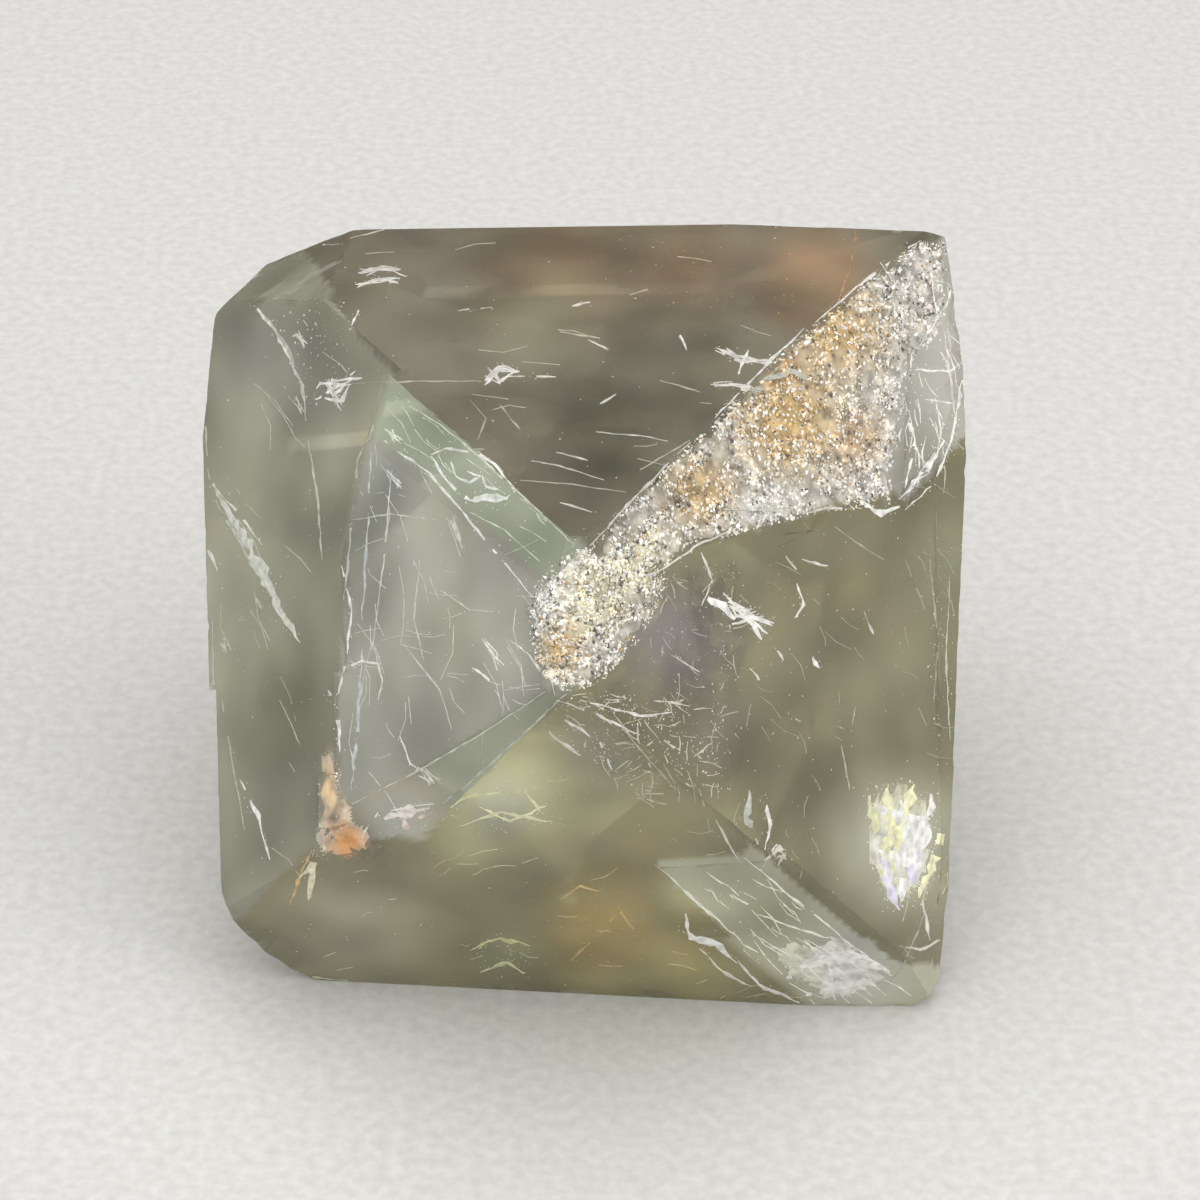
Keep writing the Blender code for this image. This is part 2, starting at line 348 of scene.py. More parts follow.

# (outline, base colour, spots of stain and painted light). Each face's tone is its own colour with painted
# light in it: the top face is darkened as painted shade, and the left face and plate are lightened as
# painted light.
TONES = (
    (CHIP, (1.0, 1.0, 0.76), (
        (850, 970, 90, (1.0, 1.0, 0.97), 1.0), (760, 915, 50, (0.70, 0.78, 0.50), 0.6))),
    # the top face: rust clouds on a base darkened as painted shade, with painted shade darkest at (590, 440)
    # and (700, 370)
    (TOP, (0.36, 0.33, 0.26), (
        (560, 270, 130, (0.53, 0.40, 0.26), 0.8), (420, 260, 80, (0.43, 0.36, 0.31), 0.7),
        (690, 262, 90, (0.52, 0.38, 0.24), 0.7), (815, 275, 90, (0.66, 0.46, 0.29), 0.9),
        (540, 335, 80, (0.49, 0.48, 0.34), 0.8), (410, 330, 90, (0.36, 0.35, 0.28), 0.7),
        (590, 440, 110, (0.24, 0.23, 0.17), 0.85), (700, 370, 80, (0.27, 0.24, 0.17), 0.6))),
    # the left plate: lightened as painted light
    (PLATE, (0.74, 0.74, 0.65), (
        (420, 560, 80, (0.73, 0.73, 0.67), 0.7), (480, 640, 70, (0.92, 0.91, 0.78), 0.8),
        (500, 560, 50, (0.72, 0.68, 0.66), 0.5), (385, 480, 60, SKY, 0.4))),
    (UPPER_STRIP, (0.74, 0.81, 0.65), ((480, 480, 60, (0.86, 0.92, 0.80), 0.6),)),
    (LOWER_STRIP, (0.58, 0.62, 0.50), ((398, 818, 70, (1.3, 1.14, 1.0), 1.0),)),
    (LEFT, (0.60, 0.60, 0.47), (
        (265, 370, 100, (0.62, 0.61, 0.54), 0.7), (290, 710, 110, (0.31, 0.31, 0.21), 0.8),
        (330, 420, 50, (0.60, 0.60, 0.52), 0.6))),
    # the lower face: the yellow-green spots at (500, 808) and (510, 955) are painted reflections; the ochre
    # spots are its own colour
    (FRONT, (0.52, 0.48, 0.28), (
        (500, 808, 95, (1.3, 1.3, 0.80), 1.0), (600, 925, 90, (0.80, 0.62, 0.24), 0.8),
        (510, 955, 50, (0.76, 0.80, 0.48), 0.8), (350, 935, 120, (0.80, 0.75, 0.56), 0.9),
        (650, 840, 60, (0.58, 0.46, 0.25), 0.6), (600, 750, 60, (0.55, 0.55, 0.46), 0.5),
        (690, 960, 70, (0.82, 0.72, 0.34), 0.8), (690, 885, 44, (0.96, 0.94, 0.56), 0.9))),
    (SHARD, (0.86, 0.84, 0.79), ((930, 450, 50, (0.74, 0.76, 0.62), 0.6),)),
    # the right face: the bright spot at (900, 845) is the painted reflection at the lower right
    (RIGHT, (0.42, 0.39, 0.24), (
        (675, 640, 90, (0.50, 0.45, 0.46), 0.85), (720, 730, 60, (0.43, 0.38, 0.34), 0.6),
        (840, 600, 90, (0.41, 0.37, 0.21), 0.6), (900, 700, 80, (0.45, 0.44, 0.28), 0.6),
        (785, 770, 85, (0.22, 0.21, 0.13), 0.8), (940, 560, 60, (0.46, 0.47, 0.32), 0.6),
        (900, 845, 100, (1.3, 1.3, 1.05), 0.95))),
)

# spots of stain on the crust, and dark spots of painted shade in its pits
CRUST_STAINS_AND_SHADE = (
    (790, 420, 90, GOLD, 0.9), (840, 330, 80, GOLD, 0.8), (700, 490, 60, GOLD, 0.8),
    (860, 440, 50, OCHRE, 0.6), (640, 560, 60, CREAM, 0.8), (590, 600, 60, CREAM, 0.9),
    (560, 650, 45, GOLD, 0.7), (545, 600, 35, WHITE, 0.6), (770, 515, 45, WHITE, 0.8),
    (893, 470, 50, PALE, 0.8), (930, 290, 60, PALE, 0.8), (780, 365, 40, OCHRE, 0.7),
    (670, 500, 30, PIT_SHADE, 0.4), (620, 530, 35, PIT_SHADE, 0.4), (326, 790, 66, (0.84, 0.60, 0.34), 0.9),
    (348, 844, 34, (0.96, 0.44, 0.13), 1.0), (388, 826, 34, (0.98, 0.80, 0.70), 0.9),
)
CRUST_BRIGHTNESS = 1.04
CRUST_CONTRAST = 0.62
COARSE_BLOTCH = 11  # pixels
FINE_BLOTCH = 5


def crust_colour(x, y):
    """The crust's colour at a pixel: spots of stain, and of painted shade in its pits, blotched lighter and
    darker at random.
    """
    coarse = noise.noise(Vector((x / COARSE_BLOTCH, y / COARSE_BLOTCH, 6.1)))
    fine = noise.noise(Vector((x / FINE_BLOTCH, y / FINE_BLOTCH, 2.3)))
    return spotted(x, y, PALE, CRUST_STAINS_AND_SHADE) * (CRUST_BRIGHTNESS + CRUST_CONTRAST * (coarse + 0.5 * fine))


def crystal_tone(x, y):
    """The crystal's own colour at a pixel: that of the outline that holds it, or the nearest one's."""
    _, base, stains_and_light = max(TONES, key=lambda row: min(OVERLAP, edge_distance(x, y, row[0])))
    return Vector([min(BRIGHTEST, BODY_GAIN * part) for part in spotted(x, y, base, stains_and_light)])


def far_tone(point):
    """The colour of a side that the photograph doesn't show: the same green, clouded grey and ochre."""
    grey = noise.noise(point / (FAR_GREY_SIZE * MM))
    ochre = noise.noise(point / (FAR_OCHRE_SIZE * MM) + OUT * 9)
    colour = Vector(FAR_TONE).lerp(Vector(FAR_GREY), soft_step(grey + 0.2, 0.5))
    return colour.lerp(Vector(FAR_OCHRE), 0.7 * soft_step(ochre - 0.15, 0.4))


def outline_share(x, y, polygon, soft):
    """How much an outline with a ragged edge, soft over some pixels, covers a pixel; it marks the pitted
    band and point, the frosting, and the painted highlight at the lower right.
    """
    ragged = OUTLINE_RAGGED * noise.noise(Vector((x / OUTLINE_WAVE, y / OUTLINE_WAVE, 0.3)))
    return soft_step(edge_distance(x, y, polygon) + ragged, soft)


def absorption(tree):
    """The green that light takes on along its way through the crystal."""
    absorb = node(tree, "ShaderNodeVolumeAbsorption", Density=ABSORPTION)
    absorb.inputs["Color"].default_value = ABSORPTION_COLOUR
    return absorb


def clear_material():
    """Clear, faintly milky fluorite, duller in soft patches."""
    material, tree, place = new_material("fluorite_clear")
    cloud = noise_node(tree, place, 190, 1)
    shade = ramp(tree, cloud, [(0.30, 0.70), (0.5, 1.0), (0.7, 1.28)])
    shader = node(tree, "ShaderNodeBsdfPrincipled", IOR=FLUORITE_IOR)
    shader.inputs["Transmission Weight"].default_value = CLEARNESS
    tree.links.new(painted(tree, shade), shader.inputs["Base Color"])
    tree.links.new(ramp(tree, cloud, [(0.35, 0.18), (0.6, 0.07)]), shader.inputs["Roughness"])
    finish_material(tree, shader, absorption(tree))
    return material


def frosted_and_glint_material():
    """Fluorite that is pitted, crusted or crushed white, and lets less light through; also laid over the
    bright reflection at the lower right as a painted highlight.
    """
    material, tree, place = new_material("fluorite_frosted_and_glint")
    pits = noise_node(tree, place, 1500, 2)
    bump = node(tree, "ShaderNodeBump", Strength=0.5, Distance=0.0002)
    tree.links.new(pits, bump.inputs["Height"])
    shader = node(tree, "ShaderNodeBsdfPrincipled", IOR=FLUORITE_IOR, Roughness=0.6)
    shader.inputs["Transmission Weight"].default_value = FROSTED_AND_GLINT_CLEARNESS
    tree.links.new(painted(tree, ramp(tree, pits, [(0.3, 0.75), (0.6, 1.3)])), shader.inputs["Base Color"])
    tree.links.new(bump.outputs["Normal"], shader.inputs["Normal"])
    finish_material(tree, shader, absorption(tree))
    return material


def is_ridge(edge):
    """Whether two faces meet sharply at an edge."""
    sides = edge.link_faces
    return len(sides) == 2 and sides[0].normal.dot(sides[1].normal) < NICK_SLOPE


def split_edges(shape, longest):
    """Splits a shape's edges until none is longer, or it has as many triangles as it may."""
    for _ in range(SPLIT_ROUNDS):
        long_edges = [e for e in shape.edges if e.calc_length() > longest]
        if not long_edges or len(shape.faces) > MOST_TRIANGLES:
            break
        bmesh.ops.subdivide_edges(shape, edges=long_edges, cuts=1)
        bmesh.ops.triangulate(shape, faces=[f for f in shape.faces if len(f.verts) > 3])


def surface_look(surface, spot):
    """(how pitted, how far frosting and the painted highlight at the lower right reach, colour) at a spot of
    the crystal.
    """
    if not surface.sees(spot):
        return 0.0, 0.0, far_tone(spot)
    x, y = surface.pixel_of(spot)
    pitted = max(outline_share(x, y, BAND, 14), outline_share(x, y, POINT, 18))
    foot = outline_share(x, y, FOOT, 10)
    # GLINT gives the bright reflection at the lower right the matt material, as a painted highlight
    frost_and_glint = max(pitted, foot, outline_share(x, y, CHIP_END, 20), outline_share(x, y, GLINT, 20))
    return pitted, frost_and_glint, crystal_tone(x, y).lerp(crust_colour(x, y), max(pitted, foot))


def crystal_piece():
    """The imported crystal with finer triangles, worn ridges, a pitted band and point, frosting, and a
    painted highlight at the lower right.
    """
    shape = bmesh.new()
    shape.from_mesh(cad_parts[NODE].data)
    bmesh.ops.remove_doubles(shape, verts=shape.verts, dist=1e-7)
    surface = Surface(BVHTree.FromBMesh(shape))
    split_edges(shape, CRYSTAL_EDGE * MM)
    shape.normal_update()
    frost_and_glint_share, colours = {}, []
    ridges = {v for e in shape.edges if is_ridge(e) for v in e.verts}
    for vert in shape.verts:
        pitted, frost_and_glint_share[vert], colour = surface_look(surface, vert.co)
        colours.append(colour)
        depth = CRUST_RELIEF * pitted * (PIT_BIAS + noise.noise(vert.co / (PIT_SIZE * MM)))
        if vert in ridges:
            depth += NICK_DEPTH * max(0.0, noise.noise(vert.co / (NICK_SIZE * MM)) + NICK_BIAS)
        vert.co -= vert.normal * max(LEAST_DEPTH, depth) * MM
    for face in shape.faces:
        face.material_index = int(sum(frost_and_glint_share[v] for v in face.verts) / len(face.verts) > FROST_AND_GLINT_FROM)
    mesh = bpy.data.meshes.new("fluorite_crystal")
    shape.to_mesh(mesh)
    shape.free()
    paint(mesh, colours)
    crystal = bpy.data.objects.new("fluorite_crystal", mesh)
    bpy.context.scene.collection.objects.link(crystal)
    mesh.materials.append(clear_material())
    mesh.materials.append(frosted_and_glint_material())
    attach(crystal, "root")
    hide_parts(NODE)
    return surface, crystal


# Crust of small grains, and specks

GRAIN_CORNERS = 6
UNEVEN = (0.6, 1.25)  # range of a grain's reach, against an even octahedron's
NARROWER = 0.7  # of a grain's reach, along its second axis
SUNK = 0.35  # share of its size that a grain of the crust is set in
SPECK_FLATNESS = 0.35
LEAST_SPECK = 0.012


def add_grain(verts, faces, spot, normal, size, flatness, chance):
    """A small uneven octahedron, set into the surface."""
    side = normal.orthogonal().normalized()
    side.rotate(Matrix.Rotation(chance.uniform(0, 2 * math.pi), 3, normal))
    other = normal.cross(side)
    first = len(verts)
    for axis, reach in ((side, 1.0), (other, NARROWER), (normal, flatness)):
        for sign in (1, -1):
            verts.append(spot + axis * sign * reach * size * chance.uniform(*UNEVEN))
    for a, b, c in ((0, 2, 4), (2, 1, 4), (1, 3, 4), (3, 0, 4), (2, 0, 5), (1, 2, 5), (3, 1, 5), (0, 3, 5)):
        faces.append((first + a, first + b, first + c))


def mineral_material(name, roughness):
    """Mineral grains or flakes in the colours that they are painted."""
    material, tree, place = new_material(name)
    shade = ramp(tree, noise_node(tree, place, 2600, 1), [(0.3, 0.75), (0.7, 1.2)])
    shader = node(tree, "ShaderNodeBsdfPrincipled", Roughness=roughness)
    tree.links.new(painted(tree, shade), shader.inputs["Base Color"])
    finish_material(tree, shader)
    return material


# (name, outline, number of grains, size range in mm, how flat, share that are white)
CRUSTS = (
    ("crust_band", BAND, 9500, (0.04, 0.17), 0.7, 0.30),
    ("crust_point", POINT, 4000, (0.04, 0.15), 0.7, 0.30),
    ("crust_foot", FOOT, 1500, (0.03, 0.12), 0.4, 0.26),
)
OCHRE_UP_TO = 0.03  # shares of the grains, past the white ones
# the dark grains stand for the crust's pits: painted shade
PIT_SHADE_UP_TO = 0.10
BARE_PATCH = 16  # pixels
BARENESS = (-0.6, 0.35)  # range that the patches' noise is held against, to leave grains out
GRAIN_SHADES = (0.75, 1.3)


def crust(name, polygon, count, sizes, flatness, white, surface, material):
    """Grains strewn over an outline, with bare patches between them."""
    chance = random.Random(name)
    verts, faces, colours = [], [], []
    for _ in range(count):
        x, y = random_inside(polygon, chance)
        if noise.noise(Vector((x / BARE_PATCH, y / BARE_PATCH, 3.7))) < chance.uniform(*BARENESS):
            continue
        hit = surface.at(x, y)
        if not hit:
            continue
        size = chance.uniform(*sizes) * MM
        pick = chance.random()
        colour = crust_colour(x, y)
        # white grains stand for white crystals and for painted sparkle
        if pick < white:
            colour = Vector(WHITE)
        elif pick < white + OCHRE_UP_TO:
            colour = Vector(OCHRE) * 0.8
        elif pick < white + PIT_SHADE_UP_TO:
            colour = Vector(PIT_SHADE)
        add_grain(verts, faces, hit[0] - hit[1] * size * SUNK, hit[1], size, flatness, chance)
        colours += [colour * chance.uniform(*GRAIN_SHADES)] * GRAIN_CORNERS
    mesh_piece(name, verts, faces, colours, material)


# (outline, number, largest size in mm, colour)
SPECKS = (
    (PLATE, 130, 0.05, WHITE), (RIGHT, 330, 0.05, WHITE), (WISPS, 420, 0.06, WHITE), (TOP, 90, 0.05, WHITE),
    (LEFT, 90, 0.05, WHITE), (FRONT, 220, 0.05, CREAM), (PURPLE, 360, 0.06, PALE), (CHIP, 160, 0.06, WHITE),
    (UPPER_STRIP, 60, 0.05, WHITE), (SHARD, 160, 0.06, WHITE),
    ([(712, 640), (728, 640), (730, 800), (712, 800)], 80, 0.06, WHITE),
    ([(925, 540), (955, 540), (952, 780), (930, 780)], 110, 0.06, WHITE),
    ([(255, 300), (345, 300), (350, 400), (310, 410)], 170, 0.07, WHITE),
    ([(560, 240), (860, 235), (800, 320), (640, 300)], 90, 0.05, GOLD),
    ([(560, 880), (640, 880), (650, 990), (555, 985)], 160, 0.06, GOLD),
    # specks of painted reflection on the yellow-green reflections in the lower face
    ([(430, 812), (500, 784), (566, 790), (570, 826), (470, 838)], 170, 0.06, LEMON),
    ([(476, 936), (534, 930), (530, 978), (480, 980)], 90, 0.06, LEMON),
    # specks of painted highlight on the bright reflection at the lower right
    ([(858, 785), (905, 775), (940, 790), (942, 880), (915, 912), (880, 912)], 260, 0.09, WHITE),
)


def specks(surface, material):
    """Tiny flakes on the faces, and specks of painted highlight on the bright reflections."""
    chance = random.Random("specks")
    verts, faces, colours = [], [], []
    for polygon, count, largest, colour in SPECKS:
        for _ in range(count):
            hit = surface.at(*random_inside(polygon, chance))
            if hit:
                size = largest * chance.random() ** 2 * MM + LEAST_SPECK * MM
                add_grain(verts, faces, hit[0], hit[1], size, SPECK_FLATNESS, chance)
                colours += [Vector(colour) * chance.uniform(0.7, 1.1)] * GRAIN_CORNERS
    mesh_piece("specks", verts, faces, colours, material)


# Cracks, chips, hairlines, painted highlights on ridges and painted reflections, as thin slivers on the
# faces

SLIVER_STEP = 6.0  # pixels
SLIVER_RISE = 0.012  # how far its middle stands over the face
SLIVER_ROOT = 0.03  # and how far it reaches in
STEEPEST = 3  # widths that a sliver's side may lie from its middle
SLIVER_THINNING = 0.65
THINNED_UNDER = 7.5  # pixels
THINNEST = 0.7  # pixels, as the waves are
RAGGED_WAVE = 7
WANDER_WAVE = 12
WANDER = 0.35  # of its width
FAINTEST = 0.30  # how much of its own colour the thinnest sliver keeps
GAP_UNDER = 0.18  # a sliver breaks off where it would be thinner than this share
CRUMBS_FROM = 3.5  # pixels: wider slivers have crumbs round them

# (points, widest width in pixels, colour)
SLIVERS = (
    # the left face
    ([(212, 484), (238, 528), (260, 566), (277, 602), (298, 642)], 12, (0.66, 0.68, 0.60)),
    ([(212, 485), (240, 515), (262, 545)], 4, WHITE),
    ([(215, 500), (250, 560), (290, 625)], 5, MILK),
    ([(240, 780), (258, 815), (270, 860)], 6, WHITE),
    ([(205, 545), (218, 570)], 5, WHITE),
    ([(262, 312), (285, 345), (302, 385), (306, 420)], 6, MILK),
    ([(250, 300), (275, 330), (290, 360)], 5, WHITE),
    ([(350, 330), (358, 310)], 6, WHITE),
    ([(308, 440), (318, 500), (322, 560)], 4, MILK),
    ([(328, 690), (338, 720), (340, 752)], 7, WHITE),
    ([(340, 560), (352, 610), (346, 660), (338, 700)], 6, WHITE),
    ([(346, 668), (362, 660), (380, 664)], 6, WHITE),
    ([(300, 880), (314, 862), (308, 900)], 8, CREAM),
    ([(290, 905), (302, 870), (312, 850)], 6, GOLD),
    ([(222, 700), (232, 760), (245, 830)], 3, MILK),
    ([(280, 700), (300, 745)], 3, MILK),
    # the left plate
    # the line from (374, 425) and the SKY lines run along the plate's left edge: painted highlights and
    # reflections
    ([(374, 425), (358, 460), (350, 540), (344, 600)], 5, MILK),
    ([(394, 396), (440, 425), (480, 458), (530, 503), (574, 545)], 4, MILK),
    ([(384, 440), (430, 474), (485, 540), (535, 600)], 5, WHITE),
    ([(372, 452), (366, 540), (362, 620)], 5, SKY),
    ([(392, 470), (384, 560), (372, 650)], 3, SKY),
    ([(362, 650), (358, 720), (352, 790)], 6, SKY),
    ([(431, 455), (446, 448), (474, 452), (494, 465), (512, 484), (515, 493)], 6, WHITE),
    ([(515, 492), (501, 500), (470, 500), (456, 490), (443, 476), (431, 456)], 7, WHITE),
    ([(450, 462), (456, 476), (470, 483), (481, 476), (467, 472)], 5, WHITE),
    ([(481, 476), (486, 486), (498, 490)], 5, WHITE),
    ([(474, 499), (486, 496), (508, 498)], 9, (0.74, 0.78, 0.70)),
    ([(470, 512), (505, 530), (540, 562)], 3, MILK),
    ([(352, 520), (390, 514), (436, 520)], 3, MILK),
    ([(420, 560), (414, 620), (424, 660)], 3, MILK),
    ([(440, 590), (470, 610), (500, 612)], 3, MILK),
    ([(400, 640), (440, 690), (452, 730)], 3, MILK),
    ([(510, 640), (530, 655), (542, 676)], 5, WHITE),
    ([(472, 668), (490, 680)], 6, WHITE),
    ([(504, 690), (540, 684)], 3, MILK),
    ([(398, 730), (410, 764), (440, 780)], 4, WHITE),
    ([(376, 655), (382, 680), (378, 700)], 4, WHITE),
    # the strips under the plate
    # the first line runs along the ridge: a painted highlight
    ([(566, 694), (520, 737), (470, 782), (428, 815)], 4, MILK),
    ([(545, 692), (480, 735), (410, 775), (352, 804)], 3, MILK),
    ([(362, 838), (378, 812), (434, 804)], 5, WHITE),
    ([(378, 836), (398, 832), (424, 814)], 17, (0.92, 0.78, 0.70)),
    ([(384, 818), (404, 812), (430, 808)], 12, (0.92, 0.84, 0.78)),
    # the top face
    ([(508, 377), (530, 375), (556, 377)], 4, WHITE),
    ([(345, 384), (420, 381), (482, 381)], 2.5, MILK),
    ([(738, 374), (748, 350)], 6, WHITE),
    ([(764, 380), (790, 372), (806, 378)], 8, MILK),
    ([(596, 432), (640, 436), (668, 441)], 3, WHITE),
    ([(556, 452), (588, 460)], 3, WHITE),
    ([(520, 458), (560, 466), (604, 480)], 2.5, WHITE),
    ([(520, 480), (570, 484), (626, 492)], 2.5, MILK),
    ([(560, 502), (592, 512)], 3, WHITE),
    ([(600, 404), (616, 394)], 4, WHITE),
    ([(588, 340), (608, 350)], 4, WHITE),
    ([(560, 332), (600, 338)], 2.5, MILK),
    ([(680, 335), (686, 350)], 6, WHITE),
    ([(458, 311), (492, 307)], 4, MILK),
    ([(572, 306), (590, 302)], 4, WHITE),
    ([(630, 295), (660, 285)], 3, MILK),
    ([(470, 400), (486, 418), (478, 440)], 3, MILK),
    ([(500, 405), (520, 430)], 3, MILK),
    ([(660, 380), (700, 392)], 2.5, MILK),
    ([(640, 470), (690, 440)], 3, MILK),
    ([(856, 230), (850, 268), (836, 306)], 4, RUST),
    # the rough band's edges, and the pale shard at its end
    ([(590, 546), (640, 492), (690, 442)], 4, WHITE),
    ([(710, 422), (760, 372), (804, 328)], 5, WHITE),
    ([(815, 322), (866, 280), (920, 240)], 5, WHITE),
    ([(616, 580), (655, 574), (700, 544), (745, 524)], 5, WHITE),
    ([(800, 514), (830, 508), (862, 508)], 4, WHITE),
    ([(862, 502), (880, 514), (900, 508)], 8, WHITE),
    ([(904, 400), (914, 440), (906, 488)], 7, WHITE),
    ([(900, 500), (926, 470), (944, 440)], 8, WHITE),
    ([(905, 510), (935, 482), (952, 440), (962, 380), (967, 330)], 5, WHITE),
    ([(918, 350), (946, 306), (958, 262)], 4, WHITE),
    ([(905, 420), (912, 352)], 5, WHITE),
    ([(915, 370), (950, 372), (964, 360)], 5, WHITE),
    ([(925, 400), (955, 404)], 4, WHITE),
    ([(940, 228), (957, 250), (967, 300)], 5, WHITE),
    ([(880, 262), (905, 300), (900, 350)], 4, WHITE),
    ([(930, 270), (938, 320)], 4, PALE),
    ([(944, 330), (956, 420)], 5, PALE),
    # the right face
    ([(708, 598), (722, 606), (734, 620)], 9, WHITE),
    ([(702, 552), (712, 580), (702, 606)], 5, WHITE),
    ([(796, 584), (804, 604), (796, 618)], 6, WHITE),
    ([(802, 560), (828, 566)], 5, WHITE),
    ([(786, 556), (796, 570)], 4, WHITE),
    ([(834, 526), (862, 546), (884, 560)], 3, MILK),
    ([(812, 658), (820, 668)], 7, WHITE),
    ([(750, 668), (760, 680)], 5, WHITE),
    ([(774, 646), (784, 660)], 4, WHITE),
    ([(864, 612), (874, 634)], 4, WHITE),
    ([(786, 712), (800, 722)], 4, WHITE),
    ([(672, 655), (700, 672)], 4, WHITE),
    ([(654, 700), (690, 706)], 4, WHITE),
    ([(664, 740), (680, 752)], 4, WHITE),
    ([(750, 790), (746, 818), (758, 844)], 8, MILK),
    ([(764, 792), (770, 824), (766, 850)], 7, WHITE),
    ([(716, 820), (732, 850), (740, 862)], 4, WHITE),
    ([(700, 790), (710, 830)], 3, MILK),
    ([(842, 745), (850, 790)], 3, MILK),
    ([(930, 560), (938, 640), (934, 700)], 3, MILK),
    ([(950, 580), (946, 660), (950, 740)], 3, WHITE),
    ([(905, 560), (925, 610)], 2.5, MILK),
    # the middle, under the point
    ([(556, 700), (590, 712), (640, 735)], 5, WHITE),
    ([(566, 720), (600, 742), (612, 770)], 6, WHITE),
    ([(580, 700), (640, 716), (672, 712)], 5, WHITE),
    ([(548, 732), (580, 756)], 5, WHITE),
    ([(604, 700), (640, 750), (676, 790)], 3, MILK),
    # the chip at the lower right
    ([(658, 866), (700, 905), (738, 938)], 5, WHITE),
    ([(744, 858), (800, 903), (850, 944), (892, 976)], 4, WHITE),
    ([(684, 914), (690, 936), (716, 944), (738, 962)], 8, WHITE),
    ([(738, 962), (764, 988), (806, 1004)], 7, WHITE),
    ([(700, 948), (722, 972), (752, 986)], 5, WHITE),
    ([(786, 978), (820, 958), (858, 956), (890, 972)], 12, WHITE),
    ([(806, 996), (840, 984), (880, 984)], 13, WHITE),
    ([(826, 950), (836, 1000)], 7, WHITE),
    ([(752, 934), (800, 962)], 5, WHITE),
    ([(758, 914), (800, 930), (836, 940)], 4, WHITE),
    ([(720, 890), (760, 910)], 4, WHITE),
    ([(900, 946), (920, 950), (940, 940)], 4, WHITE),
    ([(888, 985), (905, 962), (930, 900)], 3, MILK),
    # the bright reflection at the lower right
    ([(914, 784), (902, 826), (888, 874)], 16, LEMON),
    ([(932, 794), (920, 840), (902, 902)], 17, WHITE),
    ([(886, 788), (892, 830), (880, 876)], 15, LEMON),
    ([(868, 796), (876, 826), (882, 850)], 12, (0.74, 0.76, 0.48)),
    ([(942, 816), (936, 856), (920, 898)], 12, LEMON),
    ([(900, 800), (908, 850), (896, 906)], 15, WHITE),
    ([(884, 850), (888, 884), (900, 910)], 14, LILAC),
    ([(918, 850), (912, 884)], 12, LILAC),
    ([(872, 804), (900, 818), (930, 818)], 11, WHITE),
    ([(878, 850), (902, 862), (922, 856)], 12, WHITE),
    ([(922, 900), (930, 940)], 5, WHITE),
    # yellow-green reflections in the lower face
    ([(440, 812), (470, 796), (520, 792)], 5, (0.72, 0.74, 0.42)),
    ([(460, 826), (500, 812), (552, 822)], 5, (0.72, 0.74, 0.42)),
    ([(480, 806), (510, 822), (546, 806)], 6, LEMON),
    ([(524, 790), (540, 812)], 5, (0.74, 0.76, 0.48)),
    ([(470, 950), (500, 938), (530, 946)], 7, (0.66, 0.70, 0.38)),
    ([(480, 972), (508, 962), (524, 974)], 6, (0.70, 0.74, 0.44)),
    # ochre marks in the lower face
    ([(560, 900), (580, 886), (600, 892)], 4, GOLD),
    ([(600, 930), (620, 912), (634, 930)], 5, OCHRE),
    ([(570, 960), (590, 942)], 5, OCHRE),
    # the outline
    ([(350, 238), (390, 228), (440, 224)], 3, MILK),
    ([(470, 224), (560, 225), (660, 225)], 3, PALE),
    ([(240, 262), (300, 247), (345, 243)], 4, MILK),
    ([(203, 340), (205, 420), (209, 480)], 3, MILK),
    ([(212, 620), (215, 720), (219, 850)], 3, MILK),
    ([(965, 480), (963, 600), (960, 700)], 3, MILK),
    ([(959, 740), (956, 800), (953, 850)], 3, MILK),
    ([(240, 950), (300, 976), (420, 988)], 3, MILK),
)

# Clusters of small chips, written as slivers and drawn as bundles of them
CLUSTERS = (
    ([(318, 398), (336, 388), (354, 380)], 17, WHITE),
    ([(326, 382), (340, 404)], 9, WHITE),
    ([(486, 638), (494, 652), (500, 668)], 9, WHITE),
    ([(420, 772), (436, 782)], 9, WHITE),
    ([(484, 380), (499, 370), (512, 372)], 13, WHITE),
    ([(500, 382), (490, 370)], 7, WHITE),
    ([(362, 272), (380, 268), (400, 270)], 9, WHITE),
    ([(358, 286), (378, 280), (398, 280)], 6, WHITE),
    ([(716, 348), (738, 358), (770, 366)], 11, WHITE),
    ([(712, 386), (732, 385), (764, 394)], 8, WHITE),
    ([(724, 604), (746, 612), (764, 626)], 20, WHITE),
    ([(736, 620), (752, 616)], 16, WHITE),
    ([(732, 508), (760, 506), (792, 512)], 12, WHITE),
    ([(754, 524), (776, 502)], 11, WHITE),
    ([(766, 862), (780, 850), (786, 858)], 12, WHITE),
    ([(392, 432), (398, 446)], 10, WHITE),
    ([(296, 336), (306, 346)], 10, WHITE),
    ([(448, 520), (462, 540)], 12, MILK),
    ([(296, 396), (300, 410)], 8, MILK),
    ([(224, 640), (228, 650)], 9, MILK),
    ([(258, 600), (262, 606)], 8, MILK),
    ([(388, 470), (400, 486)], 9, WHITE),
)
CLUSTER_STRANDS = 5
CLUSTER_SPREAD = 0.3  # of the sliver's width
STRAND_WIDTH = 0.36
LEAST_STRAND = 3.6  # pixels

